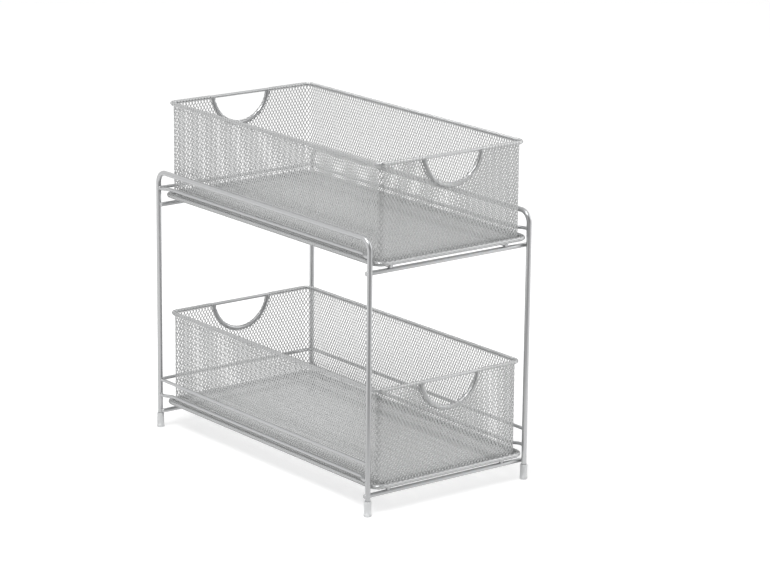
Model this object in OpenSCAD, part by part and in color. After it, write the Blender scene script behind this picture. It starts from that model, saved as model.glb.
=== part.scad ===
// Two-tier pull-out cabinet organiser: a welded wire frame that carries two sliding mesh baskets.
// The baskets pull out towards -Y, +X is to the right and +Z is up.
// The origin is on the floor, under the middle of the part's bounding box.

/* [Side frames] */
// Distance between the left and right posts, centre to centre
post_span_x = 226; // [200:1:320]
// Distance between the front and rear posts, centre to centre
post_span_y = 411; // [340:1:520]
// Height of the top rails' centre line above the floor
top_rail_z = 316; // [300:1:360]
// Diameter of the wire that each side frame is bent from
frame_wire_d = 6; // [5:0.5:8]
// Bend radius of the side frames' top corners, on the centre line
frame_bend_r = 13.5; // [8:0.5:20]

/* [Foot caps] */
// Height of a foot cap
cap_h = 18; // [12:1:18]
// Outer diameter of a foot cap at its mouth
cap_mouth_d = 8.4; // [8:0.1:10]
// Outer diameter of a foot cap just above its rounded edge
cap_base_d = 9; // [9:0.1:12]
// Thickness of the plastic under the post's end
cap_floor_t = 2.5; // [1.5:0.1:4]
// Radius of the rounded edge that stands on the floor
cap_edge_r = 1.2; // [0.6:0.1:2]
// Radial clearance between the post and the cap's bore
cap_clearance = 0.05; // [0.02:0.01:0.2]

/* [Tiers] */
// Height of the lower tier's cross bars, centre line
lower_bar_z = 21.6; // [21:0.1:30]
// Height of the upper tier's cross bars above the lower tier's
tier_pitch = 255.2; // [230:0.1:265]
// Diameter of the cross bars
bar_d = 5.2; // [4:0.1:6]
// How far a cross bar runs past the centre of its posts
bar_overhang = 1; // [0:0.1:3]
// Diameter of the support rails that the basket floor slides on
rail_d = 5.5; // [4:0.5:8]
// Distance from a basket's side wall inwards to the support rail's centre
rail_inset = 18.5; // [10:0.5:50]
// How far a support rail runs past the centre of its cross bars
rail_overhang = 4; // [0:0.5:4]
// Gap left for the weld between two wires that touch
weld_gap = 0.05; // [0.02:0.01:0.1]

/* [Guide and guard wires] */
// Diameter of the guide, guard and back wires
guide_d = 4; // [3:0.1:5]
// Height of the guide wires above their tier's cross bars
guide_rise = 19.2; // [19:0.1:24]
// How far the guide wires are jogged inwards from the plane of the posts
guide_inset = 6; // [4:0.1:8]
// Straight length of a guide wire from the post's centre to its first bend
jog_lead = 5; // [4:0.5:10]
// Length of the slanted straight between the two bends of a jog
jog_ramp = 2; // [1:0.5:4]
// Height of the lower tier's guard wires
guard_z = 60; // [55:0.5:80]

/* [Baskets] */
// Gap between a basket's edge wire and the posts beside it
side_gap = 1.35; // [0.5:0.05:4]
// How far a closed basket's edge wire stands out in front of the front posts
front_overhang = 4.95; // [2:0.05:8]
// Gap between a closed basket's back wall and the back wire, its travel to the rear
back_gap = 6.8; // [4:0.1:10]
// Outer radius of the walls' upright corners
wall_corner_r = 7; // [5:0.5:10]
// Height from the underside of the floor to the rim wire's centre line
basket_h = 113; // [90:0.5:120]
// Thickness of the expanded mesh
sheet_t = 0.8; // [0.5:0.1:1]
// Diameter of the rim wire
rim_d = 4.7; // [4:0.1:6]
// Distance that the rim wire's centre line stands outside the walls
rim_out = 1.5; // [1:0.1:1.8]
// Diameter of the wire round the edge of the floor
edge_d = 5.5; // [4:0.1:6.5]
// Distance that the edge wire's centre line stands outside the walls
edge_out = 5.4; // [5:0.1:6.5]
// Corner radius of the edge wire, on the centre line
edge_corner_r = 12; // [8:0.5:15]
// Height of the gap between a basket and the support rails
slide_clearance = 0.3; // [0.2:0.05:0.5]

/* [Hand holes] */
// Half of a hand hole's width at the rim, to the arch wire's centre line
hand_half_w = 40; // [34:0.5:60]
// Depth of a hand hole below the rim wire, between centre lines
hand_depth = 35.5; // [28:0.5:45]
// Diameter of the arch wire
arch_d = 5; // [4:0.1:5.6]

/* [Mesh openings] */
// Number of openings across a basket's floor
floor_cells_x = 8; // [2:1:12]
// Number of openings along a basket's floor
floor_cells_y = 12; // [2:1:12]
// Number of openings along a side wall
side_cells = 12; // [2:1:12]
// Number of openings across an end wall
end_cells = 8; // [2:1:12]
// Number of rows of openings up a wall
wall_rows = 4; // [1:1:6]
// Width of the metal left between two openings
mesh_bar = 6; // [2:0.5:8]

/* [Hidden] */
$fn = 48;

LEFT = -1;
RIGHT = 1;
FRONT = -1;
REAR = 1;
JOG_TURN = acos(0.8);
STEEL = "silver";
MESH = "gainsboro";
PLASTIC = "whitesmoke";

// Frame
post_x = post_span_x / 2;
post_y = post_span_y / 2;
weld_post_d = frame_wire_d + 2 * weld_gap;
bar_y = post_y - frame_wire_d / 2 - bar_d / 2 - weld_gap;
upper_bar_z = lower_bar_z + tier_pitch;

// Heights above a tier's cross bars
rail_rise = bar_d / 2 + weld_gap + rail_d / 2;
floor_rise = rail_rise + rail_d / 2 + slide_clearance;
edge_rise = floor_rise + edge_d / 2;
wall_rise = floor_rise + sheet_t + weld_gap;
rim_rise = floor_rise + basket_h;

// Jog of the guide wires: a bend inwards, a ramp and a bend back
jog_bend_r = (guide_inset - jog_ramp * sin(JOG_TURN)) / (2 * (1 - cos(JOG_TURN)));
jog_run = 2 * jog_bend_r * sin(JOG_TURN) + jog_ramp * cos(JOG_TURN);
guide_mid = post_span_y - 2 * (jog_lead + jog_run);

// Basket, which fills the width between the posts and runs from the back wire to its front overhang
edge_x = post_x - frame_wire_d / 2 - side_gap - edge_d / 2;
wall_x = edge_x - edge_out;
rail_x = wall_x - rail_inset;
front_reach = post_y + frame_wire_d / 2 + front_overhang;
front_wall_y = front_reach - edge_d / 2 - edge_out;
back_wall_y = post_y - guide_d / 2 - back_gap;
wall_y = (front_wall_y + back_wall_y) / 2;
basket_forward = (front_wall_y - back_wall_y) / 2;
edge_y = wall_y + edge_out;
rim_x = wall_x + rim_out;
rim_y = wall_y + rim_out;
rim_bite = sqrt(max(0, pow(rim_d / 2, 2) - pow(rim_out, 2)));
wall_h = rim_rise - rim_bite - weld_gap - wall_rise;
edge_tuck = sqrt(pow(edge_d / 2, 2) - pow(edge_d / 2 - sheet_t, 2)) + weld_gap;

// Hand hole: one arc, from rim to rim
arch_r = (pow(hand_half_w, 2) + pow(hand_depth, 2)) / (2 * hand_depth);
arch_centre_rise = arch_r - hand_depth;
arch_bite = sqrt(max(0, pow(arch_d / 2, 2) - pow(rim_out, 2))) + weld_gap;

// The frame stands back from the origin by half of what the baskets reach further forward
rear_reach = post_y + cap_base_d / 2;
frame_shift = (front_reach - rear_reach) / 2;

// A straight wire along +X from the origin
module straight(d, length) {
    rotate([0, 90, 0]) cylinder(d = d, h = length);
}

// A bend that starts at the origin along +X and turns towards +Y
module bend(d, radius, angle) {
    translate([0, radius, 0]) rotate([0, 0, -90])
        rotate_extrude(angle = angle) translate([radius, 0]) circle(d = d);
}

// A wire bent in the XY plane. A step is [length] for a straight or [radius, angle] for a bend,
// where a positive angle turns left.
module wire(d, steps, i = 0) {
    if (i < len(steps)) {
        step = steps[i];
        if (len(step) == 1) {
            straight(d, step[0]);
            translate([step[0], 0, 0]) wire(d, steps, i + 1);
        } else {
            side = sign(step[1]);
            mirror([0, side < 0 ? 1 : 0, 0]) bend(d, step[0], abs(step[1]));
            translate([0, side * step[0], 0]) rotate([0, 0, step[1]])
                translate([0, -side * step[0], 0]) wire(d, steps, i + 1);
        }
    }
}

// A closed rectangular loop of wire, given its half sizes and corner radius on the centre line
module wire_loop(d, half_x, half_y, radius) {
    run_x = 2 * (half_x - radius);
    run_y = 2 * (half_y - radius);
    translate([radius - half_x, -half_y, 0])
        wire(d, [[run_x], [radius, 90], [run_y], [radius, 90], [run_x], [radius, 90], [run_y], [radius, 90]]);
}

// Places children, drawn round the frame's middle, in the part's own frame
module in_frame() {
    translate([0, frame_shift, 0]) children();
}

module upper() {
    in_frame() translate([0, 0, upper_bar_z]) children();
}

module lower() {
    in_frame() translate([0, 0, lower_bar_z]) children();
}

// Cylinders round both posts of one side, to shape the end of a wire that is welded to them
module side_posts(side, height) {
    for (end = [FRONT, REAR])
        translate([side * post_x, end * post_y, 0]) cylinder(d = weld_post_d, h = height, center = true);
}

module side_frame(side) {
    leg = top_rail_z - frame_bend_r - cap_floor_t;
    rail = post_span_y - 2 * frame_bend_r;
    color(STEEL) in_frame() translate([side * post_x, -post_y, cap_floor_t]) rotate([0, -90, 0])
        wire(frame_wire_d, [[leg], [frame_bend_r, 90], [rail], [frame_bend_r, 90], [leg]]);
}

module foot_cap(side, end) {
    base_r = cap_base_d / 2;
    mouth_r = cap_mouth_d / 2;
    bore_r = frame_wire_d / 2 + cap_clearance;
    edge_arc = [for (a = [0 : 22.5 : 90])
        [base_r - cap_edge_r + cap_edge_r * sin(a), cap_edge_r - cap_edge_r * cos(a)]];
    wall = [[mouth_r, cap_h], [bore_r, cap_h], [bore_r, cap_floor_t], [0, cap_floor_t]];
    color(PLASTIC) in_frame() translate([side * post_x, end * post_y, 0])
        rotate_extrude() polygon(concat([[0, 0]], edge_arc, wall));
}

module cross_bar(end) {
    length = post_span_x + 2 * bar_overhang;
    color(STEEL) translate([-length / 2, end * bar_y, 0]) straight(bar_d, length);
}

module support_rail(side) {
    length = 2 * (bar_y + rail_overhang);
    color(STEEL) translate([side * rail_x, -length / 2, rail_rise]) rotate([0, 0, 90])
        straight(rail_d, length);
}

module guide_wire(side) {
    turn_in = [jog_bend_r, -JOG_TURN];
    turn_out = [jog_bend_r, JOG_TURN];
    jog_in = [turn_in, [jog_ramp], turn_out];
    jog_out = [turn_out, [jog_ramp], turn_in];
    color(STEEL) mirror([side == RIGHT ? 1 : 0, side == LEFT ? 1 : 0, 0]) difference() {
        translate([-post_x, -post_y, guide_rise]) rotate([0, 0, 90])
            wire(guide_d, concat([[jog_lead]], jog_in, [[guide_mid]], jog_out, [[jog_lead]]));
        translate([0, 0, guide_rise]) side_posts(LEFT, 2 * guide_d);
    }
}

// A straight wire from post to post along one side, at height z
module side_wire(side, z) {
    color(STEEL) difference() {
        translate([side * post_x, -post_y, z]) rotate([0, 0, 90]) straight(guide_d, post_span_y);
        translate([0, 0, z]) side_posts(side, 2 * guide_d);
    }
}

// A straight wire from post to post across the back, at height z
module back_wire(z) {
    color(STEEL) difference() {
        translate([-post_x, post_y, z]) straight(guide_d, post_span_x);
        for (side = [LEFT, RIGHT]) translate([0, 0, z]) side_posts(side, 2 * guide_d);
    }
}

// Cutters for a grid of openings in a sheet of thickness sheet_t that lies on the XY plane, with one
// corner at the origin. Openings that would come near a round hole are left out.
module openings(size_x, size_y, cells_x, cells_y, hole_at = [0, 0], hole_r = 0) {
    cell = [size_x / cells_x, size_y / cells_y];
    opening = [cell.x - mesh_bar, cell.y - mesh_bar];
    for (i = [0 : cells_x - 1], j = [0 : cells_y - 1]) {
        corner = [i * cell.x + mesh_bar / 2, j * cell.y + mesh_bar / 2];
        off = [for (k = [0, 1]) max(corner[k] - hole_at[k], hole_at[k] - corner[k] - opening[k], 0)];
        if (hole_r == 0 || norm(off) > hole_r + mesh_bar)
            translate([corner.x, corner.y, -sheet_t]) cube([opening.x, opening.y, 3 * sheet_t]);
    }
}

// A quarter of a disc or ring of height h, in the corner that points to +X and +Y
module quarter(inner_r, outer_r, h) {
    rotate_extrude(angle = 90) translate([inner_r, 0]) square([outer_r - inner_r, h]);
}

module in_basket() {
    translate([0, -basket_forward, 0]) children();
}

module basket_floor() {
    half_x = edge_x - edge_tuck;
    half_y = edge_y - edge_tuck;
    corner_r = edge_corner_r - edge_tuck;
    flat_x = half_x - corner_r;
    flat_y = half_y - corner_r;
    color(MESH) in_basket() translate([0, 0, floor_rise]) difference() {
        union() {
            translate([-half_x, -flat_y, 0]) cube([2 * half_x, 2 * flat_y, sheet_t]);
            for (end = [FRONT, REAR]) mirror([0, end == FRONT ? 1 : 0, 0]) {
                translate([-flat_x, flat_y, 0]) cube([2 * flat_x, corner_r, sheet_t]);
                for (side = [LEFT, RIGHT]) mirror([side == LEFT ? 1 : 0, 0, 0])
                    translate([flat_x, flat_y, 0]) quarter(0, corner_r, sheet_t);
            }
        }
        translate([-flat_x, -flat_y, 0]) openings(2 * flat_x, 2 * flat_y, floor_cells_x, floor_cells_y);
    }
}

module basket_edge_wire() {
    color(STEEL) in_basket() translate([0, 0, edge_rise]) wire_loop(edge_d, edge_x, edge_y, edge_corner_r);
}

module basket_rim_wire() {
    color(STEEL) in_basket() translate([0, 0, rim_rise])
        wire_loop(rim_d, rim_x, rim_y, wall_corner_r + rim_out);
}

module basket_side_wall(side) {
    flat_y = wall_y - wall_corner_r;
    color(MESH) in_basket() mirror([side == LEFT ? 1 : 0, 0, 0])
        translate([wall_x - sheet_t, -flat_y, wall_rise]) difference() {
            cube([sheet_t, 2 * flat_y, wall_h]);
            translate([sheet_t, 0, 0]) rotate([0, -90, 0])
                openings(wall_h, 2 * flat_y, wall_rows, side_cells);
        }
}

module basket_end_wall(end) {
    flat_x = wall_x - wall_corner_r;
    inner_r = wall_corner_r - sheet_t;
    hole_r = arch_r + arch_bite;
    color(MESH) in_basket() mirror([0, end == FRONT ? 1 : 0, 0]) difference() {
        translate([0, 0, wall_rise]) {
            translate([-flat_x, wall_y - sheet_t, 0]) cube([2 * flat_x, sheet_t, wall_h]);
            for (side = [LEFT, RIGHT]) mirror([side == LEFT ? 1 : 0, 0, 0])
                translate([flat_x, wall_y - wall_corner_r, 0]) quarter(inner_r, wall_corner_r, wall_h);
        }
        translate([0, wall_y + wall_corner_r, rim_rise + arch_centre_rise]) rotate([90, 0, 0])
            cylinder(r = hole_r, h = 2 * wall_corner_r);
        translate([-flat_x, wall_y, wall_rise]) rotate([90, 0, 0])
            openings(2 * flat_x, wall_h, end_cells, wall_rows,
                [flat_x, rim_rise + arch_centre_rise - wall_rise], hole_r);
    }
}

// A ring of wire, of which only the part below the rim wire stays
module basket_arch(end) {
    reach = 2 * arch_r;
    color(STEEL) in_basket() mirror([0, end == FRONT ? 1 : 0, 0]) translate([0, rim_y, rim_rise])
        difference() {
            translate([0, 0, arch_centre_rise]) rotate([90, 0, 0])
                rotate_extrude() translate([arch_r, 0]) circle(d = arch_d);
            translate([-reach, 0, 0]) straight(rim_d + 2 * weld_gap, 2 * reach);
            translate([-reach, -rim_d, 0]) cube([2 * reach, 2 * rim_d, 2 * reach]);
        }
}

side_frame(LEFT);  // left_side_frame
side_frame(RIGHT);  // right_side_frame
foot_cap(LEFT, FRONT);  // front_left_foot_cap
foot_cap(RIGHT, FRONT);  // front_right_foot_cap
foot_cap(LEFT, REAR);  // rear_left_foot_cap
foot_cap(RIGHT, REAR);  // rear_right_foot_cap

upper() cross_bar(FRONT);  // upper_front_cross_bar
upper() cross_bar(REAR);  // upper_rear_cross_bar
upper() support_rail(LEFT);  // upper_left_support_rail
upper() support_rail(RIGHT);  // upper_right_support_rail
upper() guide_wire(LEFT);  // upper_left_guide_wire
upper() guide_wire(RIGHT);  // upper_right_guide_wire
upper() back_wire(guide_rise);  // upper_back_wire

lower() cross_bar(FRONT);  // lower_front_cross_bar
lower() cross_bar(REAR);  // lower_rear_cross_bar
lower() support_rail(LEFT);  // lower_left_support_rail
lower() support_rail(RIGHT);  // lower_right_support_rail
lower() guide_wire(LEFT);  // lower_left_guide_wire
lower() guide_wire(RIGHT);  // lower_right_guide_wire
in_frame() side_wire(LEFT, guard_z);  // lower_left_guard_wire
in_frame() side_wire(RIGHT, guard_z);  // lower_right_guard_wire
in_frame() back_wire(guard_z);  // lower_back_guard_wire

upper() basket_floor();  // upper_basket_floor
upper() basket_edge_wire();  // upper_basket_edge_wire
upper() basket_rim_wire();  // upper_basket_rim_wire
upper() basket_side_wall(LEFT);  // upper_basket_left_wall
upper() basket_side_wall(RIGHT);  // upper_basket_right_wall
upper() basket_end_wall(FRONT);  // upper_basket_front_wall
upper() basket_end_wall(REAR);  // upper_basket_back_wall
upper() basket_arch(FRONT);  // upper_basket_front_arch
upper() basket_arch(REAR);  // upper_basket_back_arch

lower() basket_floor();  // lower_basket_floor
lower() basket_edge_wire();  // lower_basket_edge_wire
lower() basket_rim_wire();  // lower_basket_rim_wire
lower() basket_side_wall(LEFT);  // lower_basket_left_wall
lower() basket_side_wall(RIGHT);  // lower_basket_right_wall
lower() basket_end_wall(FRONT);  // lower_basket_front_wall
lower() basket_end_wall(REAR);  // lower_basket_back_wall
lower() basket_arch(FRONT);  // lower_basket_front_arch
lower() basket_arch(REAR);  // lower_basket_back_arch
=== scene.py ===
"""A wire stand with two pull-out baskets of expanded metal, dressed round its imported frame."""
import math
from functools import partialmethod

import bpy
from bpy.props import FloatProperty, FloatVectorProperty, IntProperty, PointerProperty
from mathutils import Matrix, Vector


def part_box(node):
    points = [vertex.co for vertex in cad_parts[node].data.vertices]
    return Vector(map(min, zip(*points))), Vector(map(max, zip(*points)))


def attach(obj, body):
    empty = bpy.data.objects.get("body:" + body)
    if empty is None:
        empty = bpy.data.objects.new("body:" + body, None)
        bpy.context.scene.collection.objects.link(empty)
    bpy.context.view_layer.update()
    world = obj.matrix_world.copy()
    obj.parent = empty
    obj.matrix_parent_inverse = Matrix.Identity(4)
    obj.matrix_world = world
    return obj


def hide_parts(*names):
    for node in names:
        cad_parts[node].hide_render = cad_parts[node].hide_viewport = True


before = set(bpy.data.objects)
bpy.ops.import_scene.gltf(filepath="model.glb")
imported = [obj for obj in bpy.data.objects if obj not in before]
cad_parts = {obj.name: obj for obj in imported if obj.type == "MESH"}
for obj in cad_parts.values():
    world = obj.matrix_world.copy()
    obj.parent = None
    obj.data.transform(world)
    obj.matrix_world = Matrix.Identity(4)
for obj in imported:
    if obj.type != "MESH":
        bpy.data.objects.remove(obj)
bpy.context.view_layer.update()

bl_info = {
    "name": "Pull-out Basket Stand",
    "version": (1, 0, 0),
    "blender": (4, 5, 0),
    "location": "3D View > Sidebar > Basket Stand",
    "description": "Builds the wires, meshes, welds, foot caps and stage of a basket stand",
    "category": "Add Mesh",
}

MM = 0.001
TIERS = ("upper", "lower")
SIDES = ("left", "right")
ENDS = ("front", "back")
# What the frame's nodes call each end
NODE_ENDS = {"front": "front", "back": "rear"}
QUARTER_TURN = math.pi / 2
# Each wall's turn about the upright, from the back wall's place
TURNS = {"front": 2 * QUARTER_TURN, "back": 0.0, "left": QUARTER_TURN, "right": -QUARTER_TURN}


def spread(node):
    """The size of a CAD node's box."""
    low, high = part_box(node)
    return high - low


def middle(node):
    """The middle of a CAD node's box."""
    low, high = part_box(node)
    return (low + high) / 2


# Settings

def prop(kind, **usual):
    """A function that makes properties of one kind, with their usual settings."""
    def make(name, description, default, **own):
        return kind(name=name, description=description, default=default, **{**usual, **own})
    return make


length = prop(FloatProperty, min=0.0, max=1.0, precision=5, unit="LENGTH")
lengths = prop(FloatVectorProperty, size=3, precision=5, unit="LENGTH")
share = prop(FloatProperty, min=0.0, max=1.0, subtype="FACTOR")
angle = prop(FloatProperty, min=0.0, max=math.tau, subtype="ANGLE")
count = prop(IntProperty, min=1, max=120)
power = prop(FloatProperty, min=0.0, unit="POWER")
colour = prop(FloatVectorProperty, size=3, min=0.0, max=1.0, subtype="COLOR")


class WireSettings(bpy.types.PropertyGroup):
    sides: count("Sides", "Flat sides round a wire", 28, min=8)
    bend_steps: count("Bend steps", "Straight pieces in each bend", 10, min=2)
    frame_bend: length("Frame bend", "Bend radius of the side frames' top corners", 13.5 * MM)
    jog_start: length("Jog start", "From a post's centre to a guide wire's first corner", 9 * MM)
    jog_end: length("Jog end", "From a post's centre to a guide wire's second corner", 17 * MM)
    jog_bend: length("Jog bend", "Bend radius of the guide wires' jogs", 12 * MM)
    rim_bend: length("Rim bend", "Corner radius of the rim wires", 8.5 * MM)
    edge_bend: length("Edge bend", "Corner radius of the floors' edge wires", 12 * MM)
    end_round: length("End round", "Length over which a cut wire end is rounded", 0.8 * MM)
    post_sink: length("Post sink", "How deep a butt-welded wire runs into its post", 1.5 * MM)
    hand_half: length("Hand hole half width", "Half of a hand hole's width at the rim", 40 * MM)
    arch_steps: count("Arch steps", "Straight pieces in a hand hole's arch", 56, min=12)


class MeshSettings(bpy.types.PropertyGroup):
    short_way: length("Short way", "Width of one diamond", 4.3 * MM)
    long_way: length("Long way", "Height of one diamond", 7.2 * MM)
    opening: share("Opening", "Share of a diamond's width that its hole takes", 0.765)
    hem_opening: share("Hem opening", "The same where the sheet is rolled round a wire", 0.58)
    thickness: length("Thickness", "Thickness of a strand", 0.5 * MM)
    roll_thickness: length("Roll thickness", "Thickness of a rolled strand", 0.4 * MM)
    tilt: length("Tilt", "How far a strand leans out of the sheet", 0.16 * MM)
    roll: angle("Roll", "How far the sheet is rolled round a wire", math.radians(295))
    roll_steps: count("Roll steps", "Straight pieces in a rolled strand", 3)
    arch_roll: angle("Arch roll", "How far the sheet is rolled over an arch", math.radians(225))


class CapSettings(bpy.types.PropertyGroup):
    steps: count("Steps", "Flat sides round a foot cap", 48, min=12)
    lip_height: length("Lip height", "Height of the thicker lip at the bottom", 3.2 * MM)
    waist: length("Waist", "How far the body stands in from the lip", 0.28 * MM)
    edge_round: length("Edge round", "Radius of the lip's lower edge", 1.1 * MM)
    mouth_round: length("Mouth round", "Radius of the mouth's edges", 0.45 * MM)
    bore: length("Bore", "Radius of the bore", 3.06 * MM)
    floor: length("Floor", "Thickness of plastic under the post", 2.45 * MM)


class WeldSettings(bpy.types.PropertyGroup):
    lap: lengths("Lap weld", "Reach across, through and up of a lap weld",
                 (1.9 * MM, 0.75 * MM, 1.9 * MM))
    rest: length("Rest weld", "Reach of the weld of a rail that rests on a bar", 1.2 * MM)
    butt: lengths("Butt weld", "Reach along and round of a butt weld", (1.0 * MM, 2.45 * MM),
                  size=2)
    arch: lengths("Arch weld", "Reach of an arch's weld to the rim wire",
                  (2.5 * MM, 2.3 * MM, 1.5 * MM))
    uneven: length("Uneven", "How far the lumps on a weld rise and fall", 1.2 * MM)
    seed: count("Seed", "Seed of the welds' lumps", 7)


class FinishSettings(bpy.types.PropertyGroup):
    wire: colour("Wire", "Satin silver of the wires", (0.5, 0.505, 0.51))
    mesh: colour("Mesh", "Satin silver of the expanded metal", (0.53, 0.535, 0.535))
    weld: colour("Weld", "Plated weld metal", (0.52, 0.525, 0.53))
    plastic: colour("Plastic", "Clear, slightly milky plastic of the foot caps",
                    (0.9, 0.91, 0.915))


class StageSettings(bpy.types.PropertyGroup):
    camera_place: lengths("Camera place", "Where the camera stands",
                          (-2.153702, -2.854468, 1.154318))
    camera_target: lengths("Camera target", "What the camera looks at",
                           (0.048221, -0.023738, 0.197019))
    camera_roll: angle("Camera roll", "Turn about the line of sight", math.radians(0.6038))
    lens: FloatProperty(name="Lens", description="Focal length on the sensor", default=148.806,
                        min=10.0, unit="CAMERA")
    floor_size: length("Floor size", "Width of the floor", 40.0, max=100.0)
    floor: colour("Floor", "Pale studio floor", (0.92, 0.92, 0.92))
    glow: share("Glow", "Share of plain white in what the camera sees of the floor", 0.35)
    lift: FloatProperty(name="Lift", description="Strength of that white", default=1.7, min=0.0)
    room: share("Room", "How bright the room in front of the stand is in reflections", 0.22)
    near: length("Near", "How far from the stand the darker room begins", 0.05)
    fade: length("Fade", "Over what distance it grows darker", 0.45)
    sky: share("Sky", "Even light from all round", 0.5)
    key: power("Key", "Power of the large lamp at the front left", 70.0)
    key_place: lengths("Key place", "Where that lamp hangs", (-1.3, -0.8, 3.1))
    key_width: length("Key width", "How wide that lamp is", 1.8, max=10.0)
    fill: power("Fill", "Power of the lamp at the right", 14.0)
    fill_place: lengths("Fill place", "Where that lamp hangs", (2.4, -1.2, 1.4))
    fill_width: length("Fill width", "How wide that lamp is", 2.0, max=10.0)


# Nodes

class Field:
    """A node's output that reads as a number in Python sums, each of which adds its Math node."""

    def __init__(self, net, socket):
        self.net, self.socket = net, socket

    def math(self, operation, *others):
        return self.net.node("ShaderNodeMath", [self, *others], operation=operation)

    def out(self, name):
        """Another output of the same node."""
        return Field(self.net, self.socket.node.outputs[name])

    def reflected(self, operation, other):
        return self.net.node("ShaderNodeMath", [other, self], operation=operation)

    def ramp(self, start, span):
        """Nought up to a start, and one from a span beyond it."""
        return ((self - start) / span).at_least(0).at_most(1)

    __add__ = __radd__ = partialmethod(math, "ADD")
    __sub__ = partialmethod(math, "SUBTRACT")
    __rsub__ = partialmethod(reflected, "SUBTRACT")
    __mul__ = __rmul__ = partialmethod(math, "MULTIPLY")
    __truediv__ = partialmethod(math, "DIVIDE")
    __rtruediv__ = partialmethod(reflected, "DIVIDE")
    __mod__ = partialmethod(math, "FLOORED_MODULO")
    __neg__ = partialmethod(math, "MULTIPLY", -1)
    __abs__ = partialmethod(math, "ABSOLUTE")
    __lt__ = partialmethod(math, "LESS_THAN")
    __gt__ = partialmethod(math, "GREATER_THAN")
    at_least = partialmethod(math, "MAXIMUM")
    at_most = partialmethod(math, "MINIMUM")
    root = partialmethod(math, "SQRT")
    sign = partialmethod(math, "SIGN")
    sine = partialmethod(math, "SINE")
    cosine = partialmethod(math, "COSINE")
    rounded = partialmethod(math, "ROUND")


class Net:
    """A tree of nodes under construction, for a material, the world or a shape."""

    def __init__(self, tree):
        self.tree = tree

    def node(self, kind, values=(), **settings):
        """Adds a node: its settings first, then its sockets' values or links, by place or name."""
        made = self.tree.nodes.new(kind)
        for name, value in settings.items():
            setattr(made, name, value)
        for key, value in values.items() if isinstance(values, dict) else enumerate(values):
            for item in value if isinstance(value, list) else [value]:
                if isinstance(item, Field):
                    self.tree.links.new(item.socket, made.inputs[key])
                else:
                    made.inputs[key].default_value = item
        return Field(self, next((o for o in made.outputs if o.enabled), None))

    def split(self, vector):
        x = self.node("ShaderNodeSeparateXYZ", [vector])
        return x, x.out("Y"), x.out("Z")

    def join(self, x, y, z):
        return self.node("ShaderNodeCombineXYZ", [x, y, z])

    def scaled(self, vector, factor):
        return self.node("ShaderNodeVectorMath", {0: vector, "Scale": factor}, operation="SCALE")

    def where(self, kind="Object"):
        """Where a point lies, or which way it is in a world."""
        return self.node("ShaderNodeTexCoord").out(kind)

    def noise(self, where, scale, detail=2.0):
        return self.node("ShaderNodeTexNoise", {
            "Vector": where, "Scale": scale, "Detail": detail})

    def blend(self, factor, first, second):
        """A colour between two, which a Mix node takes in its sockets 6 and 7."""
        return self.node("ShaderNodeMix", {"Factor": factor, 6: (*first, 1), 7: (*second, 1)},
                         data_type="RGBA")

    def bump(self, height, strength, distance):
        return self.node("ShaderNodeBump", {
            "Strength": strength, "Distance": distance, "Height": height})


class Shape(Net):
    """A geometry tree whose inputs have names."""

    KINDS = {float: "Float", int: "Int", Vector: "Vector"}

    def __init__(self, name, **inputs):
        super().__init__(bpy.data.node_groups.new(name, "GeometryNodeTree"))
        self.socket("geometry", "Geometry")
        for key, value in inputs.items():
            self.socket(key, self.KINDS[type(value)]).default_value = value
        self.socket("material", "Material")
        self.socket("geometry", "Geometry", "OUTPUT")
        self.entry = self.tree.nodes.new("NodeGroupInput")

    def socket(self, key, kind, way="INPUT"):
        return self.tree.interface.new_socket(
            self.label(key), in_out=way, socket_type="NodeSocket" + kind)

    @staticmethod
    def label(key):
        return key.replace("_", " ").capitalize()

    def __getattr__(self, key):
        return Field(self, self.entry.outputs[self.label(key)])

    def attribute(self, name, kind):
        return self.node("GeometryNodeInputNamedAttribute", {"Name": name}, data_type=kind)

    def finish(self, geometry, smooth):
        """Ends the tree with plain, shaded geometry in its material."""
        shaded = self.node("GeometryNodeSetShadeSmooth", {
            "Geometry": geometry, "Shade Smooth": smooth})
        plain = self.node("GeometryNodeRealizeInstances", [shaded])
        self.node("NodeGroupOutput", [
            self.node("GeometryNodeSetMaterial", {"Geometry": plain, "Material": self.material})])
        return self.tree


def built_once(name):
    """Lets a function build its named tree the first time, and hands out that tree later."""
    def wrap(build):
        return lambda: bpy.data.node_groups.get(name) or build(name)
    return wrap


def realised(name, tree, inputs, points=(), edges=(), **attributes):
    """Runs a geometry tree on a guide of points and edges, and keeps the result as a mesh."""
    guide = bpy.data.meshes.new(name + "_guide")
    guide.from_pydata([tuple(p) for p in points], edges, [])
    for key, (kind, values) in attributes.items():
        field = "vector" if kind == "FLOAT_VECTOR" else "value"
        layer = guide.attributes.new(key, kind, "POINT")
        for item, value in zip(layer.data, values):
            setattr(item, field, value)
    piece = bpy.data.objects.new(name, guide)
    bpy.context.scene.collection.objects.link(piece)
    modifier = piece.modifiers.new("Shape", "NODES")
    modifier.node_group = tree
    sockets = {s.name: s for s in tree.interface.items_tree if s.in_out == "INPUT"}
    for key, value in inputs.items():
        socket = sockets[Shape.label(key)]
        is_float = socket.socket_type == "NodeSocketFloat"
        modifier[socket.identifier] = float(value) if is_float else value
    evaluated = piece.evaluated_get(bpy.context.evaluated_depsgraph_get())
    mesh = bpy.data.meshes.new_from_object(evaluated)
    piece.modifiers.clear()
    piece.data = mesh
    mesh.name = name
    bpy.data.meshes.remove(guide)
    if not mesh.polygons:
        raise RuntimeError(f"{name} came out empty")
    return piece


def settle(piece, body, slot, *nodes):
    """Gives a finished piece its body and hides the CAD nodes that it stands for; slot is not used.
    """
    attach(piece, body)
    if nodes:
        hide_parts(*nodes)


# Finishes

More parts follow.
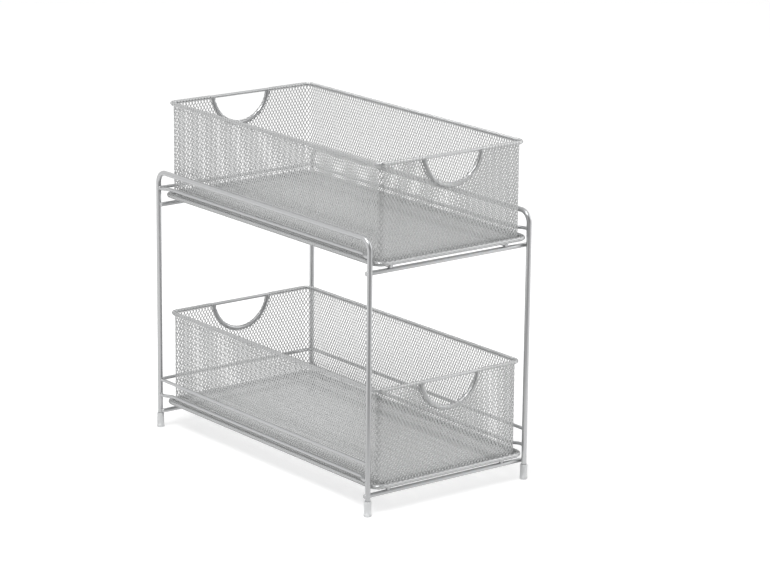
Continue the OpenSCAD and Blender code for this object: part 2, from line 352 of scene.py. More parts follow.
def finish_of(name, build):
    """A material by name, built once."""
    material = bpy.data.materials.get(name)
    if material is None:
        material = bpy.data.materials.new(name)
        material.use_nodes = True
        material.node_tree.nodes.clear()
        net = Net(material.node_tree)
        net.node("ShaderNodeOutputMaterial", {"Surface": build(net)})
    return material


def plated(name, kind, roughness, metallic, uneven, peel=0.03 * MM, cloudy=0.6, smeared=0.12):
    """Satin plated steel: a cloudy tone, a fine grain and a faint orange peel."""
    tint = getattr(bpy.context.scene.basket_finish, kind)

    def build(net):
        where = net.where()
        cloud = net.noise(where, scale=22.0, detail=3.0)
        speck = net.noise(where, scale=2600.0, detail=1.0)
        dark = [channel * (1 - uneven) for channel in tint]
        light = [min(1, channel * (1 + uneven)) for channel in tint]
        return net.node("ShaderNodeBsdfPrincipled", {
            "Base Color": net.blend(cloudy * cloud + (1 - cloudy) * speck, dark, light),
            "Metallic": metallic,
            "Roughness": roughness + smeared * (cloud - 0.5),
            "Normal": net.bump(net.noise(where, scale=700.0), strength=0.25, distance=peel),
        })
    return finish_of(name, build)


def wire_finish():
    return plated("satin_silver_wire", "wire", roughness=0.3, metallic=0.85, uneven=0.05)


def mesh_finish():
    return plated("satin_silver_mesh", "mesh", roughness=0.36, metallic=0.75, uneven=0.09)


def weld_finish():
    return plated("plated_weld", "weld", roughness=0.46, metallic=0.7, uneven=0.14,
                  peel=0.08 * MM)


def cap_finish(uneven=0.07, roughness=0.28, smeared=0.1, ripple=0.05 * MM):
    """Clear plastic with a slight milkiness and flow clouds."""
    tint = bpy.context.scene.basket_finish.plastic

    def build(net):
        where = net.where()
        cloud = net.noise(where, scale=260.0)
        return net.node("ShaderNodeBsdfPrincipled", {
            "Base Color": net.blend(cloud, [channel * (1 - uneven) for channel in tint], tint),
            "Roughness": roughness + smeared * cloud,
            "IOR": 1.49,
            "Transmission Weight": 0.3,
            "Normal": net.bump(net.noise(where, scale=420.0, detail=1.0), strength=0.2,
                               distance=ripple),
        })
    return finish_of("milky_cap_plastic", build)


# Wires

# How a cut wire end narrows: shares of the rounded length, and of the radius there
END_PROFILE = ((0.0, 0.62), (0.1, 0.8), (0.35, 0.94), (1.0, 1.0))


@built_once("Bent Wire")
def wire_tree(name):
    """A round wire swept along a guide, with its corners bent."""
    net = Shape(name, diameter=4 * MM, bend_radius=10 * MM, bend_steps=10, sides=28)
    path = net.node("GeometryNodeMeshToCurve", [net.geometry])
    bent = net.node("GeometryNodeFilletCurve", {
        "Curve": path, "Count": net.bend_steps, "Radius": net.bend_radius}, mode="POLY")
    ring = net.node("GeometryNodeCurvePrimitiveCircle", {
        "Resolution": net.sides, "Radius": net.diameter / 2})
    swept = net.node("GeometryNodeCurveToMesh", {
        "Curve": bent, "Profile Curve": ring, "Scale": net.attribute("taper", "FLOAT"),
        "Fill Caps": True})
    merged = net.node("GeometryNodeMergeByDistance", {"Geometry": swept, "Distance": 0.001 * MM})
    return net.finish(merged, True)


def wire(name, body, diameter, points, bend=0.0, closed=False, round_ends=True):
    """A piece of wire along points, which stands for the CAD node of the same name."""
    settings = bpy.context.scene.basket_wires
    points = [Vector(p) for p in points]
    taper = [1.0] * len(points)
    if round_ends and not closed:
        head = (points[1] - points[0]).normalized() * settings.end_round
        tail = (points[-2] - points[-1]).normalized() * settings.end_round
        start = [points[0] + head * along for along, _ in END_PROFILE]
        stop = [points[-1] + tail * along for along, _ in reversed(END_PROFILE)]
        widths = [width for _, width in END_PROFILE]
        taper = widths + taper[1:-1] + widths[::-1]
        points = start + points[1:-1] + stop
    edges = [(i, i + 1) for i in range(len(points) - 1)]
    if closed:
        edges.append((len(points) - 1, 0))
    piece = realised(name + "_metal", wire_tree(), {
        "diameter": diameter, "bend_radius": bend, "bend_steps": settings.bend_steps,
        "sides": settings.sides, "material": wire_finish()}, points, edges,
        taper=("FLOAT", taper))
    settle(piece, body, "wire", name)


def straight_wire(name, axis):
    """A straight wire of the frame, from end to end of its CAD node along an axis."""
    start, stop = middle(name), middle(name)
    start[axis], stop[axis] = (corner[axis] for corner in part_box(name))
    wire(name, "frame", spread(name).z, [start, stop])


def posts():
    """The places of the four posts, as {(side, end): (x, y)}."""
    found = {}
    for side in SIDES:
        low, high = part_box(f"{side}_side_frame")
        x, radius = (low.x + high.x) / 2, (high.x - low.x) / 2
        found[side, "front"] = (x, low.y + radius)
        found[side, "back"] = (x, high.y - radius)
    return found


class BASKET_OT_side_frames(bpy.types.Operator):
    """Bend the two upside-down U wires that make the posts and the top rails"""
    bl_idname = "basket.side_frames"
    bl_label = "Side Frames"

    def execute(self, context):
        at = posts()
        for side in SIDES:
            name = f"{side}_side_frame"
            low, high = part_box(name)
            diameter = high.x - low.x
            top = high.z - diameter / 2
            (x, front), (_, back) = at[side, "front"], at[side, "back"]
            wire(name, "frame", diameter,
                 [(x, front, low.z), (x, front, top), (x, back, top), (x, back, low.z)],
                 bend=context.scene.basket_wires.frame_bend)
        return {"FINISHED"}


class BASKET_OT_cross_bars(bpy.types.Operator):
    """Lay the cross bars and the support rails of both tiers"""
    bl_idname = "basket.cross_bars"
    bl_label = "Cross Bars and Rails"

    def execute(self, context):
        for tier in TIERS:
            for end in NODE_ENDS.values():
                straight_wire(f"{tier}_{end}_cross_bar", 0)
            for side in SIDES:
                straight_wire(f"{tier}_{side}_support_rail", 1)
        return {"FINISHED"}


class BASKET_OT_guide_wires(bpy.types.Operator):
    """Run the jogged guide wires, the guard wires and the back wires from post to post"""
    bl_idname = "basket.guide_wires"
    bl_label = "Guide and Guard Wires"

    def execute(self, context):
        settings = context.scene.basket_wires
        at = posts()
        clear = spread("left_side_frame").x / 2 - settings.post_sink
        for side in SIDES:
            inwards = 1 if side == "left" else -1
            (x, front), (_, back) = at[side, "front"], at[side, "back"]
            for tier in TIERS:
                name = f"{tier}_{side}_guide_wire"
                box = spread(name)
                z, inner = middle(name).z, x + inwards * (box.x - box.z)
                first, second = settings.jog_start, settings.jog_end
                wire(name, "frame", box.z, [
                    (x, front + clear, z), (x, front + first, z), (inner, front + second, z),
                    (inner, back - second, z), (x, back - first, z), (x, back - clear, z)],
                    bend=settings.jog_bend, round_ends=False)
            name = f"lower_{side}_guard_wire"
            z = middle(name).z
            wire(name, "frame", spread(name).z, [(x, front + clear, z), (x, back - clear, z)],
                 round_ends=False)
        (left, back), (right, _) = at["left", "back"], at["right", "back"]
        for name in ("upper_back_wire", "lower_back_guard_wire"):
            z = middle(name).z
            wire(name, "frame", spread(name).z, [(left + clear, back, z), (right - clear, back, z)],
                 round_ends=False)
        return {"FINISHED"}


def loop_corners(name):
    """The corners on the centre line of a closed wire loop."""
    low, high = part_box(name)
    half = (high.z - low.z) / 2
    z = (low.z + high.z) / 2
    x0, x1, y0, y1 = low.x + half, high.x - half, low.y + half, high.y - half
    return [(x0, y0, z), (x1, y0, z), (x1, y1, z), (x0, y1, z)]


def arch_circle(basket, end):
    """The hand hole's arch: its radius and its centre's height, on the wire's centre line."""
    name = f"{basket}_{end}_arch"
    half = bpy.context.scene.basket_wires.hand_half
    rim = middle(f"{basket}_rim_wire").z
    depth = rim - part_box(name)[0].z - spread(name).y / 2
    radius = (half ** 2 + depth ** 2) / (2 * depth)
    return radius, rim - depth + radius


class BASKET_OT_basket_wires(bpy.types.Operator):
    """Bend each basket's rim wire, edge wire and hand hole arches"""
    bl_idname = "basket.basket_wires"
    bl_label = "Basket Wires"

    def execute(self, context):
        settings = context.scene.basket_wires
        hem = context.scene.basket_mesh.roll_thickness
        for tier in TIERS:
            basket = f"{tier}_basket"
            for part, bend in (("rim_wire", settings.rim_bend), ("edge_wire", settings.edge_bend)):
                name = f"{basket}_{part}"
                wire(name, basket, spread(name).z - 2 * hem, loop_corners(name), bend=bend,
                     closed=True)
            for end in ENDS:
                name = f"{basket}_{end}_arch"
                radius, centre = arch_circle(basket, end)
                widest = math.acos((centre - middle(f"{basket}_rim_wire").z) / radius)
                steps, y = settings.arch_steps, middle(name).y
                turns = [widest * (2 * i / steps - 1) for i in range(steps + 1)]
                wire(name, basket, spread(name).y,
                     [(radius * math.sin(a), y, centre - radius * math.cos(a)) for a in turns],
                     round_ends=False)
        return {"FINISHED"}


# Expanded metal

# How near two places in a sheet count as one
SLACK = 0.01 * MM
# Just under one, because a face goes when all its corners lie beyond a border
BEYOND = 0.99
# Inside every point of a floor, for one without an inner border
NO_BORDER = -1.0


class Sheet(Shape):
    """A geometry tree for expanded metal, which starts flat: X runs along it and Y up it."""

    def __init__(self, name, **inputs):
        super().__init__(name, columns=48, run=0.2, start=0.0, stop=0.1, first_row=0.0,
                         long_way=7.2 * MM, opening=0.765, tilt=0.16 * MM, thickness=0.5 * MM,
                         strand_steps=1, turn=0.0, centre=Vector(), **inputs)
        self.sheet = self.lattice()
        for beyond in (abs(self.x) > self.run / 2 - 2 * SLACK,
                       self.y < self.start + 2 * SLACK, self.y > self.stop - 2 * SLACK):
            self.drop(beyond)

    def lattice(self):
        """Diamonds on a grid that fits the run and the two heights, over their borders."""
        half_w, half_h = self.run / self.columns / 2, self.long_way / 2
        height = self.stop - self.start
        grid = self.node("GeometryNodeMeshGrid", {
            "Size X": self.run, "Size Y": height, "Vertices X": 2 * self.columns + 1,
            "Vertices Y": (height / half_h).rounded() + 1})
        grid = self.node("GeometryNodeTransform", {
            "Geometry": grid, "Translation": self.join(0, (self.start + self.stop) / 2, 0)})
        self.x, self.y, self.z = self.split(self.node("GeometryNodeInputPosition"))
        row = ((self.y - self.first_row) / half_h).rounded()
        steps = (self.x / half_w).rounded() + row + self.columns
        rhombus = self.node("GeometryNodeCurvePrimitiveQuadrilateral", {
            "Width": half_w * 2, "Bottom Height": half_h, "Top Height": half_h}, mode="KITE")
        # A rhombus has equal sides, so its corners survive an even division
        rhombus = self.node("GeometryNodeResampleCurve", {
            "Curve": rhombus, "Count": self.strand_steps * 4}, mode="COUNT")
        rhombus = self.node("GeometryNodeFillCurve", [rhombus], mode="NGONS")
        inset = self.node("GeometryNodeExtrudeMesh", {
            "Mesh": rhombus, "Offset Scale": 0.0, "Individual": False}, mode="FACES")
        hole = inset.out("Top")
        inset = self.node("GeometryNodeScaleElements", {
            "Geometry": inset, "Selection": hole, "Scale": self.opening}, domain="FACE")
        inset = self.node("GeometryNodeSetPosition", {
            "Geometry": inset, "Selection": hole,
            "Offset": self.join(0, 0, self.tilt * self.y / half_h)})
        strands = self.node("GeometryNodeDeleteGeometry", {
            "Geometry": inset, "Selection": hole}, domain="FACE")
        cells = self.node("GeometryNodeInstanceOnPoints", {
            "Points": grid, "Selection": (steps % 2) < 0.5, "Instance": strands})
        cells = self.node("GeometryNodeRealizeInstances", [cells])
        return self.node("GeometryNodeMergeByDistance", {"Geometry": cells, "Distance": SLACK})

    def drop(self, beyond):
        """Deletes the faces that lie wholly beyond a border."""
        corners = self.node("GeometryNodeFieldOnDomain", [beyond], domain="POINT",
                            data_type="FLOAT")
        self.sheet = self.node("GeometryNodeDeleteGeometry", {
            "Geometry": self.sheet, "Selection": corners > BEYOND}, domain="FACE")

    def move(self, x, y, z, **chosen):
        """Moves the sheet's points, or the chosen ones."""
        self.sheet = self.node("GeometryNodeSetPosition", {
            "Geometry": self.sheet, "Position": self.join(x, y, z), **chosen})

    def thicken(self):
        """Gives the flat sheet its thickness along Z, closed all round."""
        front = self.node("GeometryNodeExtrudeMesh", {
            "Mesh": self.sheet, "Offset": self.join(0, 0, 1), "Offset Scale": self.thickness,
            "Individual": False}, mode="FACES")
        back = self.node("GeometryNodeFlipFaces", [self.sheet])
        whole = self.node("GeometryNodeJoinGeometry", [[front, back]])
        self.sheet = self.node("GeometryNodeMergeByDistance", {
            "Geometry": whole, "Distance": 0.4 * SLACK})

    def round_a_hole(self, height):
        """How far a point lies above a hole's centre at that height, and away from it."""
        off = self.y - height
        return off, (self.x * self.x + off * off).root()

    def stand(self, x, y, z):
        """Moves the sheet's points to their places, and the sheet to its basket."""
        self.move(x, y, z)
        turned = self.node("GeometryNodeTransform", {
            "Geometry": self.sheet, "Rotation": self.join(0, 0, self.turn),
            "Translation": self.centre})
        return self.finish(turned, False)


@built_once("Expanded Wall")
def wall_tree(name):
    """Expanded metal up a wall, round its corners and over the rim wire, less a hand hole."""
    net = Sheet(name, flat_half=0.09, rim_out=0.2, rim_height=0.11, rim_radius=2.35 * MM,
                corner=8.5 * MM, hole_radius=0.0, hole_height=0.1, gap_half=0.0)
    x, y, z = net.x, net.y, net.z
    off, far = net.round_a_hole(net.hole_height)
    net.drop(far < net.hole_radius + SLACK)
    push = (net.hole_radius / far.at_least(SLACK)).at_least(1)
    # Only points under the rim are pushed, because the sheet above it leaves the hole's plane
    net.move(x * push, net.hole_height + off * push, z, Selection=y < net.rim_height + SLACK)
    net.drop((abs(x) < net.gap_half + 2 * SLACK) * (y > net.rim_height - 2 * SLACK))
    net.thicken()
    # First the turn round the rim wire, then the corners' turn about the upright
    roll = (y - net.rim_height).at_least(0) / net.rim_radius
    radius = net.rim_radius - z
    out = -radius * roll.cosine()
    height = (y - net.rim_height).at_most(0) + radius * roll.sine()
    bend = ((abs(x) - net.flat_half) / (net.corner - net.rim_radius)).at_least(0)
    # The sheet runs against X, so that its front faces outwards when it stands up
    along = -x.sign() * (abs(x).at_most(net.flat_half) + (net.corner + out) * bend.sine())
    depth = net.rim_out - net.corner + (net.corner + out) * bend.cosine()
    return net.stand(along, depth, height)


@built_once("Expanded Arch")
def arch_tree(name):
    """A hand hole's edge: expanded metal that climbs the arch wire and is rolled over it."""
    net = Sheet(name, rim_out=0.2, rim_height=0.11, rim_radius=2.35 * MM, arch_radius=40 * MM,
                wire_radius=2.5 * MM, arch_height=0.1, reach=10 * MM)
    x, z = net.x, net.z
    off, far = net.round_a_hole(net.arch_height)
    outer = net.arch_radius + net.wire_radius
    net.drop(far > outer - SLACK)
    net.drop(far < outer - net.reach + SLACK)
    held = far.at_least(outer - net.reach).at_most(outer) / far.at_least(SLACK)
    net.move(x * held, net.arch_height + off * held, z)
    net.thicken()
    past = outer - far
    roll = (past - net.rim_radius).at_least(0) / net.wire_radius
    radius = net.wire_radius + z
    push = (net.arch_radius + radius * roll.cosine()) / far.at_least(SLACK)
    depth = net.rim_out - net.rim_radius + past.at_most(net.rim_radius) + radius * roll.sine()
    return net.stand(-x * push, depth, net.arch_height + off * push - net.rim_height)


@built_once("Expanded Floor")
def floor_tree(name):
    """Expanded metal across a floor and rolled round its edge wire."""
    net = Sheet(name, half_run=0.2, half_rise=0.1, corner=9 * MM, edge_radius=2.15 * MM,
                roll_from=NO_BORDER, roll_to=0.0)
    x, y, z = net.x, net.y, net.z
    over_x = (abs(x) - net.half_run + net.corner).at_least(0)
    over_y = (abs(y) - net.half_rise + net.corner).at_least(0)
    far = (over_x * over_x + over_y * over_y).root()
    past = far - net.corner
    net.drop(past < net.roll_from + 2 * SLACK)
    net.drop(past > net.roll_to - 10 * SLACK)
    held = past.at_least(net.roll_from).at_most(net.roll_to)
    out_x = x.sign() * over_x / far.at_least(2 * SLACK)
    out_y = y.sign() * over_y / far.at_least(2 * SLACK)
    net.move(x + out_x * (held - past), y + out_y * (held - past), z,
             Selection=far > 0.5 * net.corner)
    net.thicken()
    roll = past.at_least(0) / net.edge_radius
    radius = net.edge_radius - z
    shift = radius * roll.sine() - past.at_least(0)
    return net.stand(x + out_x * shift, y + out_y * shift, -(radius * roll.cosine()))


def whole_steps(span, step):
    """How many steps fit a span, and the exact step."""
    steps = max(1, round(span / step))
    return steps, span / steps


def metal_sheet(name, basket, tree, inputs, *nodes):
    """A piece of expanded metal on a basket."""
    piece = realised(name, tree, {**inputs, "material": mesh_finish()})
    settle(piece, basket, "mesh", *nodes)


class BASKET_OT_walls(bpy.types.Operator):
    """Wrap each basket's walls in expanded metal and roll it over the rim wire"""
    bl_idname = "basket.walls"
    bl_label = "Expanded Walls"

    def execute(self, context):
        for tier in TIERS:
            for wall in ENDS + SIDES:
                self.wall(context.scene.basket_mesh, context.scene.basket_wires,
                          f"{tier}_basket", wall)
        return {"FINISHED"}

    @staticmethod
    def wall(mesh, wires, basket, wall):
        """A wall's panel, its hem round the rim wire and, on an end wall, the arch's hem."""
        rim, centre = spread(f"{basket}_rim_wire"), middle(f"{basket}_rim_wire")
        radius, corner = rim.z / 2, wires.rim_bend
        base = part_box(f"{basket}_floor")[1].z
        height = centre.z - base
        _, half_rise = whole_steps(height, mesh.long_way / 2)
        is_end = wall in ENDS
        across, deep = (rim.x, rim.y) if is_end else (rim.y, rim.x)
        flat_half = across / 2 - radius - corner
        run = 2 * flat_half + (math.pi * (corner - radius) if is_end else 0)
        columns, step = whole_steps(run, mesh.short_way)
        arch, arch_z, wire_r, gap = 0.0, 0.0, 0.0, -MM
        if is_end:
            arch, arch_z = arch_circle(basket, wall)
            wire_r = spread(f"{basket}_{wall}_arch").y / 2
            gap = whole_steps(wires.hand_half + MM, step / 2)[0] * step / 2
        sheet = {
            "columns": columns, "run": run, "start": 0.0, "stop": height, "tilt": mesh.tilt,
            "long_way": 2 * half_rise, "opening": mesh.opening, "rim_out": deep / 2 - radius,
            "rim_height": height, "rim_radius": radius, "turn": TURNS[wall],
            "centre": tuple(centre)}
        panel = {
            **sheet, "flat_half": flat_half, "corner": corner, "hole_radius": arch + wire_r,
            "hole_height": arch_z - base, "gap_half": gap, "thickness": mesh.thickness,
            "strand_steps": 1}
        rolled = {"thickness": mesh.roll_thickness, "strand_steps": mesh.roll_steps}
        rise = round(mesh.roll * radius / half_rise) * half_rise
        metal_sheet(f"{basket}_{wall}_wall_mesh", basket, wall_tree(), panel,
                    f"{basket}_{wall}_wall")
        metal_sheet(f"{basket}_{wall}_rim_hem", basket, wall_tree(), {
            **panel, **rolled, "opening": mesh.hem_opening, "start": height,
            "stop": height + rise})
        if is_end:
            metal_sheet(f"{basket}_{wall}_arch_hem", basket, arch_tree(), {
                **sheet, **rolled, "arch_radius": arch, "wire_radius": wire_r,
                "arch_height": arch_z - base, "reach": radius + mesh.arch_roll * wire_r})


class BASKET_OT_floors(bpy.types.Operator):
    """Lay each basket's floor of expanded metal and roll it round the edge wire"""
    bl_idname = "basket.floors"
    bl_label = "Expanded Floors"

    def execute(self, context):
        mesh = context.scene.basket_mesh
        for tier in TIERS:
            basket = f"{tier}_basket"
            edge, centre = spread(f"{basket}_edge_wire"), middle(f"{basket}_edge_wire")
            radius = edge.z / 2
            half_run, half_rise = edge.y / 2 - radius, edge.x / 2 - radius
            columns, step = whole_steps(2 * half_run, mesh.short_way)
            rise = whole_steps(2 * half_rise, mesh.long_way / 2)[1]
            extra_columns = math.ceil(mesh.roll * radius / step)
            extra_rise = math.ceil(mesh.roll * radius / rise) * rise
            sheet = {
                "columns": columns, "run": 2 * half_run, "start": -half_rise, "stop": half_rise,
                "long_way": 2 * rise, "first_row": -half_rise, "opening": mesh.opening,
                "tilt": mesh.tilt, "thickness": mesh.thickness, "strand_steps": 1,
                "half_run": half_run, "half_rise": half_rise, "edge_radius": radius,
                "corner": context.scene.basket_wires.edge_bend, "roll_from": NO_BORDER,
                "roll_to": 0.0, "turn": QUARTER_TURN, "centre": tuple(centre)}
            metal_sheet(f"{basket}_floor_mesh", basket, floor_tree(), sheet, f"{basket}_floor")
            metal_sheet(f"{basket}_edge_hem", basket, floor_tree(), {
                **sheet, "columns": columns + 2 * extra_columns,
                "run": 2 * half_run + 2 * extra_columns * step,
                "start": -half_rise - extra_rise, "stop": half_rise + extra_rise,
                "opening": mesh.hem_opening, "thickness": mesh.roll_thickness,
                "strand_steps": mesh.roll_steps, "roll_from": 0.0,
                "roll_to": round(mesh.roll * radius / rise) * rise})
        return {"FINISHED"}


# Foot caps

def turned_mesh(name, profile, steps, centre):
    """A closed solid of revolution round an upright line through centre."""
    points, faces, rings = [], [], []
    for r, z in profile:
        sides = steps if r else 1
        rings.append(range(len(points), len(points) + sides))
        points += [(centre.x + r * math.cos(math.tau * i / steps),
                    centre.y + r * math.sin(math.tau * i / steps), z) for i in range(sides)]
    for low, high in zip(rings, rings[1:]):
        for i in range(steps):
            j = (i + 1) % steps
            face = (low[i % len(low)], low[j % len(low)], high[j % len(high)], high[i % len(high)])
            faces.append(list(dict.fromkeys(face)))
    mesh = bpy.data.meshes.new(name)
    mesh.from_pydata(points, [], faces)
    mesh.shade_smooth()
    return mesh


def arc(cx, cz, radius, first, last, steps):
    """Points on an arc in a profile, from one angle to another in quarter turns."""
    turns = [QUARTER_TURN * (first + (last - first) * i / steps) for i in range(steps + 1)]
    return [(cx + radius * math.cos(a), cz + radius * math.sin(a)) for a in turns]


class BASKET_OT_foot_caps(bpy.types.Operator):
    """Push the clear plastic foot caps on to the posts"""
    bl_idname = "basket.foot_caps"
    bl_label = "Foot Caps"

    def execute(self, context):
        cap = context.scene.basket_caps
        edge, mouth, waist = cap.edge_round, cap.mouth_round, cap.waist
        for end in NODE_ENDS.values():
            for side in SIDES:
                name = f"{end}_{side}_foot_cap"
                box = spread(name)
                lip, rim = box.x / 2, box.z - mouth
                profile = [
                    (0, 0),
                    *arc(lip - edge, edge, edge, -1, 0, steps=5),
                    *arc(lip - waist, cap.lip_height - waist, waist, 0, 1, steps=3),
                    *arc(lip - waist - mouth, rim, mouth, 0, 1, steps=4),
                    *arc(cap.bore + mouth, rim, mouth, 1, 2, steps=4),
                    (cap.bore, cap.floor),
                    (0, cap.floor)]
                piece = bpy.data.objects.new(
                    name + "_plastic", turned_mesh(name, profile, cap.steps, middle(name)))
                context.scene.collection.objects.link(piece)
                piece.data.materials.append(cap_finish())
                settle(piece, "frame", "foot_caps", name)
        return {"FINISHED"}


# Welds

@built_once("Weld Beads")
def weld_tree(name):
    """One uneven bead of weld metal on each point of a guide, as large as its reach says."""
    net = Shape(name, uneven=1.2 * MM, seed=7)
    ball = net.node("GeometryNodeMeshIcoSphere", {"Radius": 1.0, "Subdivisions": 3})
    beads = net.node("GeometryNodeInstanceOnPoints", {
        "Points": net.geometry, "Instance": ball, "Scale": net.attribute("reach", "FLOAT_VECTOR")})
    beads = net.node("GeometryNodeRealizeInstances", [beads])
    lump = net.node("ShaderNodeTexNoise", {
        "Vector": net.node("GeometryNodeInputPosition"), "W": net.seed, "Scale": 900.0},
        noise_dimensions="4D")
    push = net.scaled(net.node("GeometryNodeInputNormal"), net.uneven * (lump - 0.5))
    beads = net.node("GeometryNodeSetPosition", {"Geometry": beads, "Offset": push})
    return net.finish(beads, True)


def weld_beads(name, body, beads):
    """Beads as (place, reach) pairs, in one piece."""
    settings = bpy.context.scene.basket_welds
    places, reaches = zip(*beads)
    piece = realised(name, weld_tree(), {
        "uneven": settings.uneven, "seed": settings.seed, "material": weld_finish()}, places,
        reach=("FLOAT_VECTOR", reaches))
    settle(piece, body, "wire")


class BASKET_OT_welds(bpy.types.Operator):
    """Set the weld beads where the wires cross and meet"""
    bl_idname = "basket.welds"
    bl_label = "Welds"

    def execute(self, context):
        weld = context.scene.basket_welds
        at = posts()
        post_r = spread("left_side_frame").x / 2
        along, around = weld.butt
        rail_reach = (weld.rest, weld.rest, weld.lap[1])
        beads = []
        for tier in TIERS:
            for end, node_end in NODE_ENDS.items():
                bar = middle(f"{tier}_{node_end}_cross_bar")
                bar_r = spread(f"{tier}_{node_end}_cross_bar").z / 2
                for side in SIDES:
                    x, y = at[side, end]
                    beads.append(((x, y + math.copysign(post_r, bar.y - y), bar.z), weld.lap))
                    rail = middle(f"{tier}_{side}_support_rail")
                    beads.append(((rail.x, bar.y, bar.z + bar_r), rail_reach))
        for side in SIDES:
            for node in (f"upper_{side}_guide_wire", f"lower_{side}_guide_wire",
                         f"lower_{side}_guard_wire"):
                for end, inwards in (("front", 1), ("back", -1)):
                    x, y = at[side, end]
                    beads.append(((x, y + inwards * post_r, middle(node).z),
                                  (around, along, around)))
        for node in ("upper_back_wire", "lower_back_guard_wire"):
            for side, inwards in (("left", 1), ("right", -1)):
                x, y = at[side, "back"]
                beads.append(((x + inwards * post_r, y, middle(node).z),
                              (along, around, around)))
        weld_beads("frame_welds", "frame", beads)
        for tier in TIERS:
            self.basket(f"{tier}_basket", weld.arch)
        return {"FINISHED"}

    @staticmethod
    def basket(basket, reach):
        """The welds of a basket's arches to its rim wire."""
        beads = []
        for end in ENDS:
            rim = middle(f"{basket}_rim_wire").z - spread(f"{basket}_rim_wire").z / 2
            radius, centre = arch_circle(basket, end)
            half = math.sqrt(radius ** 2 - (centre - rim) ** 2)
            y = middle(f"{basket}_{end}_arch").y
            beads += [((x, y, rim), reach) for x in (-half, half)]
        weld_beads(f"{basket}_welds", basket, beads)


# Stage

WHITE = (1, 1, 1, 1)
# What both lamps shine at, halfway up the stand
LAMP_TARGET = (0, 0, 0.2)
SENSOR_WIDTH = 36
VIEW_END = 200
# The way to the darker part of the room, and the start and span of its darkening, by the cosine
# between that way and a reflection's
AHEAD = (-0.5, -0.86)
AHEAD_RAMP = (0.6, 0.25)
# Nearer the upright axis than this, a place has no clear direction
NO_DIRECTION = 0.01
# How much darker the floor is where it is darkest
FLOOR_CLOUD = 0.015


def aimed(name, data, where, target):
    """A lamp or camera that stands at one place and looks at another."""
    made = bpy.data.objects.new(name, data)
    bpy.context.scene.collection.objects.link(made)
    aim = Vector(target) - Vector(where)
    made.matrix_world = (
        Matrix.Translation(where) @ aim.to_track_quat("-Z", "Y").to_matrix().to_4x4())
    return made


def round_lamp(name, where, width, watts):
    """A round lamp that shines at the stand."""
    data = bpy.data.lights.new(name, "AREA")
    data.shape = "DISK"
    data.size = width
    data.energy = watts
    aimed(name, data, where, LAMP_TARGET)


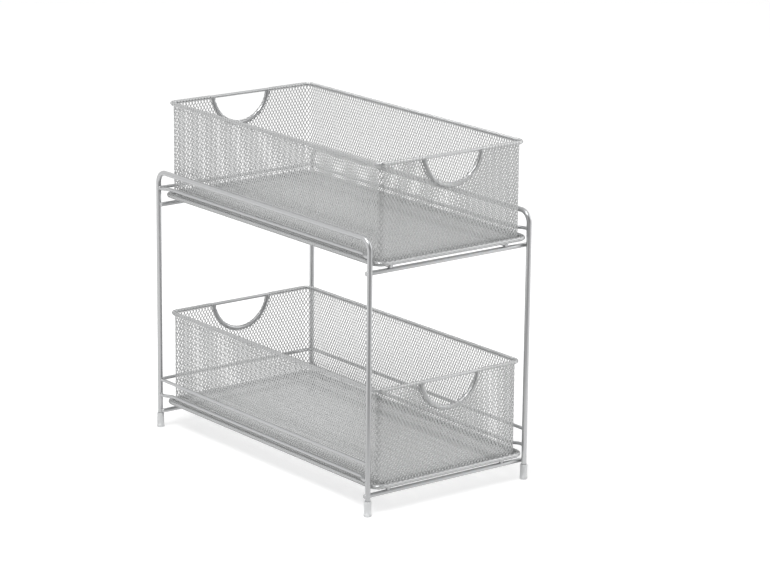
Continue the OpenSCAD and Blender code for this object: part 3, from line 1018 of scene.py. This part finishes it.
class BASKET_OT_stage(bpy.types.Operator):
    """Set the floor, the lamps, the white surround and the camera"""
    bl_idname = "basket.stage"
    bl_label = "Stage"

    def execute(self, context):
        stage, scene = context.scene.basket_stage, context.scene
        half = stage.floor_size / 2
        mesh = bpy.data.meshes.new("studio_floor")
        mesh.from_pydata([(-half, -half, 0), (half, -half, 0), (half, half, 0), (-half, half, 0)],
                         [], [(0, 1, 2, 3)])
        floor = bpy.data.objects.new("studio_floor", mesh)
        scene.collection.objects.link(floor)
        mesh.materials.append(
            finish_of("studio_floor", lambda net: self.floor_surface(net, stage)))
        world = bpy.data.worlds.new("studio_surround")
        world.use_nodes = True
        world.node_tree.nodes.clear()
        net = Net(world.node_tree)
        dim = self.dimness(net, net.where("Generated"), stage)
        light = net.node("ShaderNodeBackground", {"Color": WHITE, "Strength": stage.sky})
        white = net.node("ShaderNodeBackground", {"Color": WHITE, "Strength": 1 - dim})
        net.node("ShaderNodeOutputWorld", {
            "Surface": net.node("ShaderNodeMixShader", [self.seen(net), light, white])})
        scene.world = world
        scene.view_settings.view_transform = "Standard"
        round_lamp("key_lamp", stage.key_place, stage.key_width, stage.key)
        round_lamp("fill_lamp", stage.fill_place, stage.fill_width, stage.fill)
        self.camera(stage)
        return {"FINISHED"}

    @staticmethod
    def seen(net):
        """One where the camera, a reflection or a clear piece looks, nought for light."""
        path = net.node("ShaderNodeLightPath")
        return path.at_least(path.out("Is Glossy Ray")).at_least(path.out("Is Transmission Ray"))

    @staticmethod
    def dimness(net, where, stage):
        """How much darker a reflection finds the room in front of the stand."""
        x, y, _ = net.split(where)
        far = (x * x + y * y).root().at_least(NO_DIRECTION)
        ahead = (x * AHEAD[0] + y * AHEAD[1]) / far
        mirrored = net.node("ShaderNodeLightPath").out("Is Glossy Ray")
        dark = ahead.ramp(*AHEAD_RAMP) * far.ramp(stage.near, stage.fade)
        return (1 - stage.room) * dark * mirrored

    def floor_surface(self, net, stage):
        """A matt floor, lifted to white where it is seen, which keeps part of its shadow."""
        where = net.where()
        dim = self.dimness(net, where, stage)
        tone = (1 - FLOOR_CLOUD) + FLOOR_CLOUD * net.noise(where, scale=6.0)
        matt = net.node("ShaderNodeBsdfDiffuse", {
            "Color": net.scaled(tuple(stage.floor), tone), "Roughness": 0.4})
        white = net.node("ShaderNodeEmission", {
            "Color": WHITE, "Strength": stage.lift * (1 - dim)})
        share_of_white = self.seen(net) * stage.glow + (1 - stage.glow) * dim
        return net.node("ShaderNodeMixShader", [share_of_white, matt, white])

    @staticmethod
    def camera(stage):
        data = bpy.data.cameras.new("camera")
        data.lens = stage.lens
        data.sensor_width = SENSOR_WIDTH
        data.clip_end = VIEW_END
        camera = aimed("camera", data, stage.camera_place, stage.camera_target)
        camera.matrix_world @= Matrix.Rotation(stage.camera_roll, 4, "Z")
        bpy.context.scene.camera = camera


# Panel

OPERATORS = (BASKET_OT_stage, BASKET_OT_side_frames, BASKET_OT_cross_bars, BASKET_OT_guide_wires,
             BASKET_OT_foot_caps, BASKET_OT_basket_wires, BASKET_OT_walls, BASKET_OT_floors,
             BASKET_OT_welds)
SETTINGS = {"basket_wires": WireSettings, "basket_mesh": MeshSettings,
            "basket_caps": CapSettings, "basket_welds": WeldSettings,
            "basket_finish": FinishSettings, "basket_stage": StageSettings}


class BASKET_PT_stand(bpy.types.Panel):
    """The settings and the building steps of the basket stand"""
    bl_label = "Basket Stand"
    bl_idname = "BASKET_PT_stand"
    bl_space_type = "VIEW_3D"
    bl_region_type = "UI"
    bl_category = "Basket Stand"

    def draw(self, context):
        for operator in OPERATORS:
            self.layout.operator(operator.bl_idname)
        for key, group in SETTINGS.items():
            box = self.layout.box()
            for name in group.__annotations__:
                box.prop(getattr(context.scene, key), name)


def register():
    for group in (*SETTINGS.values(), *OPERATORS, BASKET_PT_stand):
        bpy.utils.register_class(group)
    for key, group in SETTINGS.items():
        setattr(bpy.types.Scene, key, PointerProperty(type=group))


def unregister():
    for key in SETTINGS:
        delattr(bpy.types.Scene, key)
    for group in reversed((*SETTINGS.values(), *OPERATORS, BASKET_PT_stand)):
        bpy.utils.unregister_class(group)


def main():
    register()
    for operator in OPERATORS:
        category, name = operator.bl_idname.split(".")
        getattr(getattr(bpy.ops, category), name)()


if __name__ == "__main__":
    main()
